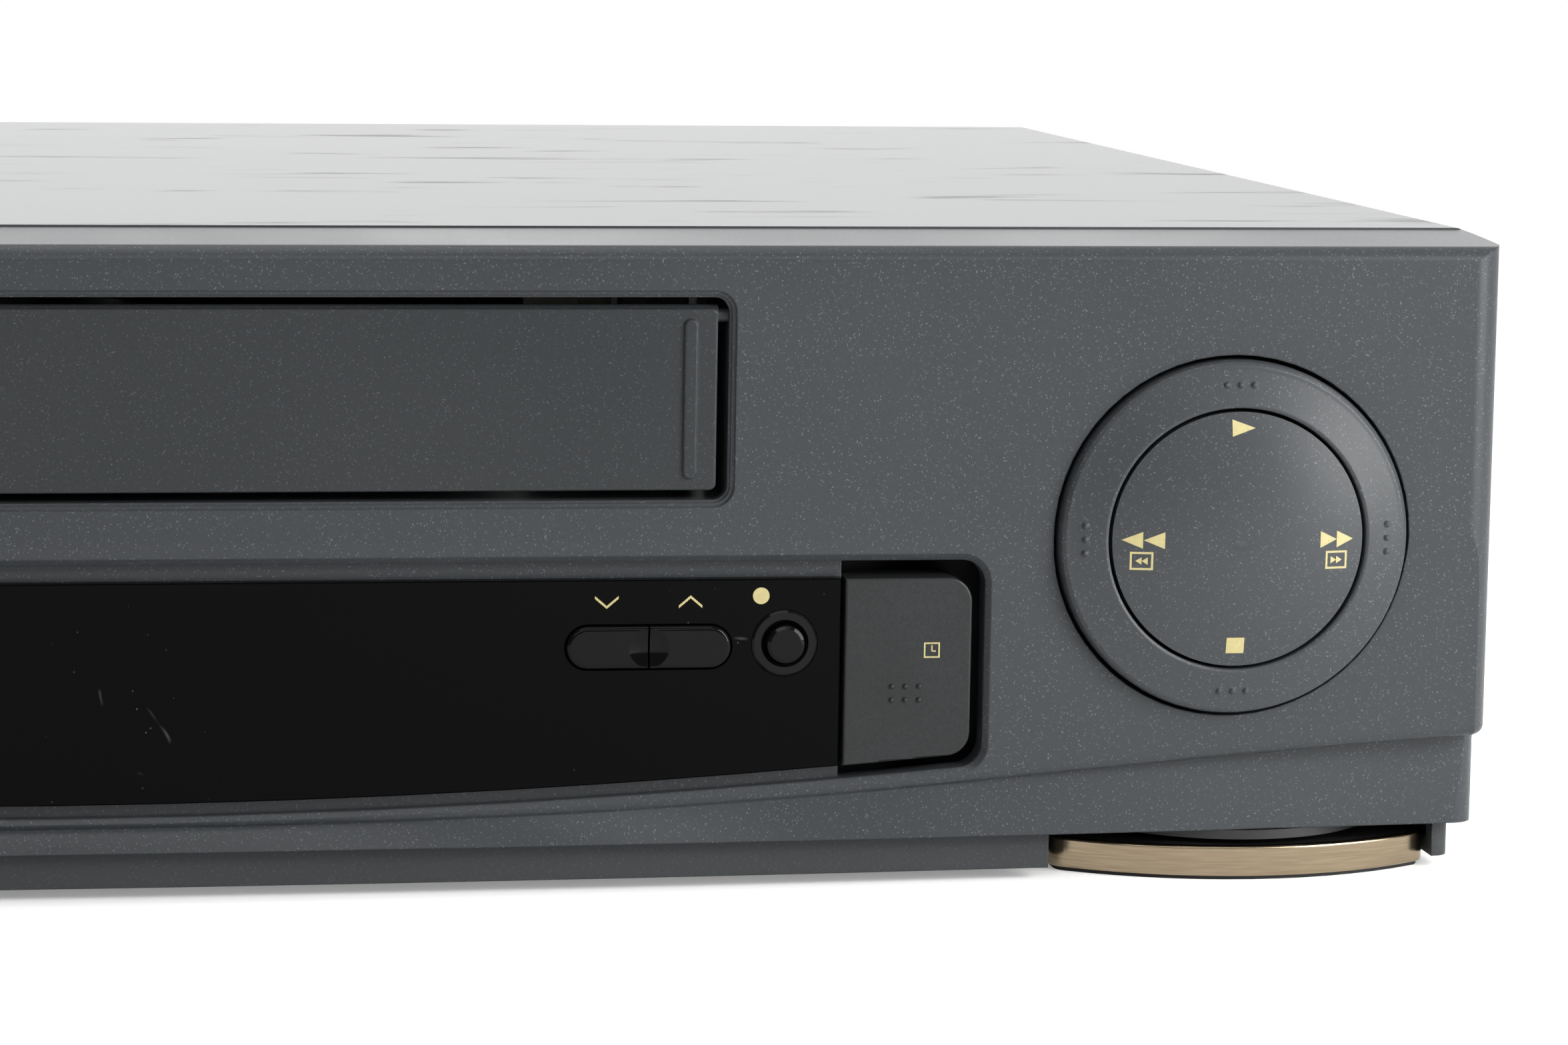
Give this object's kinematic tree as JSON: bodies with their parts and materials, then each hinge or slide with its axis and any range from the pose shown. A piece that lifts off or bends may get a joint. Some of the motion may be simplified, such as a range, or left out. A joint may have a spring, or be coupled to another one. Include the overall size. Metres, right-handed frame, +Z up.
{
  "type": "video cassette recorder",
  "caption": "Front-loading video cassette recorder: low charcoal case, hinged slot flap, smoked display window, round tilting control, metal-banded feet and a working tape deck inside.",
  "frame": {"origin": "middle of the overall box on the plane the feet rest on", "axes": "+X to the right seen from the front, +Y to the back, +Z up"},
  "size_m": [0.43, 0.312, 0.0975],
  "materials": {
    "bezel_plastic": "fine metallic-speckled charcoal moulding",
    "flap_plastic": "fine metallic-speckled charcoal moulding",
    "spring_steel": "bright drawn wire",
    "window_acrylic": "polished smoked acrylic",
    "display_glass": "dark display tube",
    "key_plastic": "glossy black moulding",
    "light_ring": "smoked translucent ring",
    "ring_plastic": "fine metallic-speckled charcoal moulding",
    "dome_plastic": "fine metallic-speckled charcoal moulding",
    "black_plastic": "plain black moulding",
    "natural_nylon": "natural acetal",
    "circuit_board": "green lacquered laminate",
    "board_brown": "brown paper laminate",
    "base_plastic": "black moulding, light texture",
    "foot_plastic": "black moulding",
    "foot_band": "champagne anodised, fine brushed",
    "foot_rubber": "moulded rubber",
    "cover_paint": "fine textured charcoal paint",
    "rear_steel": "satin charcoal paint",
    "black_screws": "blackened steel",
    "socket_plastic": "black socket moulding",
    "nickel": "bright nickel",
    "tinplate": "tinned steel",
    "core_steel": "lacquered steel laminations",
    "deck_steel": "zinc-plated sheet",
    "zinc_screws": "zinc-plated steel",
    "drum_aluminium": "turned, fine lathe lines",
    "bearing_brass": "turned",
    "shaft_steel": "ground steel",
    "arm_steel": "zinc-plated pressing",
    "roller_rubber": "ground rubber",
    "reel_plastic": "black acetal",
    "motor_can": "drawn steel can",
    "head_metal": "lapped metal",
    "guide_metal": "ground and polished"
  },
  "bodies": {
    "recorder": {"aerial_sockets": "nickel", "base_tray": "base_plastic", "capstan_housing": "bearing_brass", "control_bracket": "black_plastic", "control_dome": "dome_plastic", "cover_screws": "black_screws", "deck_plate": "deck_steel", "deck_screws": "zinc_screws", "display_module": "display_glass", "display_window": "window_acrylic", "drive_belt": "roller_rubber", "flap_spring": "spring_steel", "foot_bands": "foot_band", "foot_pads": "foot_rubber", "front_bezel": "bezel_plastic", "front_board": "circuit_board", "front_feet": "foot_plastic", "front_switches": "black_plastic", "loader_plates": "deck_steel", "loading_motor": "motor_can", "lower_drum": "drum_aluminium", "main_board": "circuit_board", "mains_inlet": "socket_plastic", "phono_sockets": "nickel", "power_board": "board_brown", "rear_feet": "foot_rubber", "rear_panel": "rear_steel", "rec_light_ring": "light_ring", "scart_sockets": "socket_plastic", "tape_heads": "head_metal", "tape_posts": "guide_metal", "top_cover": "cover_paint", "transformer": "core_steel", "tuner_box": "tinplate"},
    "flap": {"cassette_flap": "flap_plastic"},
    "channel_down": {"channel_down_button": "key_plastic"},
    "channel_up": {"channel_up_button": "key_plastic"},
    "rec": {"rec_button": "key_plastic"},
    "timer_rec": {"timer_rec_key": "key_plastic"},
    "standby": {"standby_key": "key_plastic"},
    "eject": {"eject_button": "key_plastic"},
    "gimbal": {"control_gimbal": "natural_nylon"},
    "ring": {"control_ring": "ring_plastic"},
    "loader_carriage": {"loader_sliders": "arm_steel"},
    "loader_cross_shaft": {"loader_shaft": "shaft_steel"},
    "holder": {"cassette_holder": "deck_steel"},
    "head_drum": {"upper_drum": "drum_aluminium"},
    "capstan_shaft": {"capstan": "shaft_steel"},
    "clutch": {"clutch_pulley": "natural_nylon"},
    "idler": {"idler_arm": "arm_steel"},
    "idler_roller": {"idler_wheel": "reel_plastic"},
    "supply": {"supply_reel": "reel_plastic"},
    "takeup": {"takeup_reel": "reel_plastic"},
    "pinch": {"pinch_arm": "arm_steel"},
    "pinch_wheel": {"pinch_roller": "roller_rubber"},
    "left_guide": {"guide_left": "guide_metal"},
    "right_guide": {"guide_right": "guide_metal"},
    "loading_wheel": {"loading_gear": "natural_nylon"},
    "loading_pinion": {"motor_pinion": "bearing_brass"}
  },
  "joints": [
    {"name": "flap_hinge", "type": "hinge", "parent": "recorder", "child": "flap", "pos_m": [0, -0.14855, 0.0856], "axis": [1, 0, 0], "range_deg": [0, 88], "stiffness_Nm_per_rad": 0.003, "springref_deg": -17.19},
    {"name": "channel_down_press", "type": "slide", "parent": "recorder", "child": "channel_down", "axis": [0, 1, 0], "range_m": [0, 0.0008], "stiffness_N_per_m": 400},
    {"name": "channel_up_press", "type": "slide", "parent": "recorder", "child": "channel_up", "axis": [0, 1, 0], "range_m": [0, 0.0008], "stiffness_N_per_m": 400},
    {"name": "rec_press", "type": "slide", "parent": "recorder", "child": "rec", "axis": [0, 1, 0], "range_m": [0, 0.0008], "stiffness_N_per_m": 400},
    {"name": "timer_rec_press", "type": "slide", "parent": "recorder", "child": "timer_rec", "axis": [0, 1, 0], "range_m": [0, 0.001], "stiffness_N_per_m": 400},
    {"name": "standby_press", "type": "slide", "parent": "recorder", "child": "standby", "axis": [0, 1, 0], "range_m": [0, 0.001], "stiffness_N_per_m": 400},
    {"name": "eject_press", "type": "slide", "parent": "recorder", "child": "eject", "axis": [0, 1, 0], "range_m": [0, 0.0012], "stiffness_N_per_m": 400},
    {"name": "gimbal_side_tilt", "type": "hinge", "parent": "recorder", "child": "gimbal", "pos_m": [0.17405, -0.1449, 0.05274], "axis": [1, 0, 0], "range_deg": [-2, 2], "stiffness_Nm_per_rad": 0.42},
    {"name": "ring_up_tilt", "type": "hinge", "parent": "gimbal", "child": "ring", "pos_m": [0.17405, -0.1449, 0.05274], "axis": [0, 0, 1], "range_deg": [-2, 2], "stiffness_Nm_per_rad": 0.42},
    {"name": "loader_slide", "type": "slide", "parent": "recorder", "child": "loader_carriage", "axis": [0, 1, 0], "range_m": [-0.073, 0]},
    {"name": "loader_shaft_turn", "type": "hinge", "parent": "recorder", "child": "loader_cross_shaft", "pos_m": [0, -0.04615, 0.092], "axis": [1, 0, 0], "range_deg": [-1200, 0]},
    {"name": "holder_drop", "type": "slide", "parent": "loader_carriage", "child": "holder", "axis": [0, 0, -1], "range_m": [0, 0.0221]},
    {"name": "drum_spin", "type": "hinge", "parent": "recorder", "child": "head_drum", "pos_m": [0, 0.03885, 0.0345], "axis": [0, -0.104, 0.9946], "continuous": true},
    {"name": "capstan_spin", "type": "hinge", "parent": "recorder", "child": "capstan_shaft", "pos_m": [0.052, 0.01385, 0.03], "axis": [0, 0, 1], "continuous": true},
    {"name": "clutch_spin", "type": "hinge", "parent": "recorder", "child": "clutch", "pos_m": [0, -0.08915, 0.03], "axis": [0, 0, 1], "continuous": true},
    {"name": "idler_swing", "type": "hinge", "parent": "recorder", "child": "idler", "pos_m": [0, -0.08915, 0.03], "axis": [0, 0, 1], "range_deg": [-7.2, 7.2]},
    {"name": "idler_spin", "type": "hinge", "parent": "idler", "child": "idler_roller", "pos_m": [0, -0.05915, 0.03], "axis": [0, 0, 1], "continuous": true},
    {"name": "supply_spin", "type": "hinge", "parent": "recorder", "child": "supply", "pos_m": [-0.037, -0.05515, 0.03], "axis": [0, 0, 1], "continuous": true},
    {"name": "takeup_spin", "type": "hinge", "parent": "recorder", "child": "takeup", "pos_m": [0.037, -0.05515, 0.03], "axis": [0, 0, 1], "continuous": true},
    {"name": "pinch_swing", "type": "hinge", "parent": "recorder", "child": "pinch", "pos_m": [0.082, 0.01685, 0.036], "axis": [0, 0, 1], "range_deg": [0, 35]},
    {"name": "pinch_spin", "type": "hinge", "parent": "pinch", "child": "pinch_wheel", "pos_m": [0.06504, 0.03595, 0.048], "axis": [0, 0, 1], "continuous": true},
    {"name": "loading_turn", "type": "hinge", "parent": "recorder", "child": "loading_wheel", "pos_m": [-0.06, 0.06285, 0.0235], "axis": [0, 0, 1], "range_deg": [0, 150]},
    {"name": "pinion_turn", "type": "hinge", "parent": "recorder", "child": "loading_pinion", "pos_m": [-0.06, 0.09285, 0.0235], "axis": [0, 0, 1], "range_deg": [-601, 1]},
    {"name": "left_guide_slide", "type": "slide", "parent": "recorder", "child": "left_guide", "axis": [-0.3547, 0.935, 0], "range_m": [0, 0.06213]},
    {"name": "right_guide_slide", "type": "slide", "parent": "recorder", "child": "right_guide", "axis": [0.3547, 0.935, 0], "range_m": [0, 0.06213]}
  ],
  "couplings": [
    {"joint": "loader_shaft_turn", "follows": "loader_slide", "rad_per_m": 285.71},
    {"joint": "clutch_spin", "follows": "capstan_spin", "ratio": 0.75},
    {"joint": "idler_spin", "follows": "capstan_spin", "ratio": -0.96346},
    {"joint": "pinion_turn", "follows": "loading_turn", "ratio": -4},
    {"joint": "left_guide_slide", "follows": "loading_turn", "m_per_rad": 0.023695},
    {"joint": "right_guide_slide", "follows": "loading_turn", "m_per_rad": 0.023695}
  ]
}
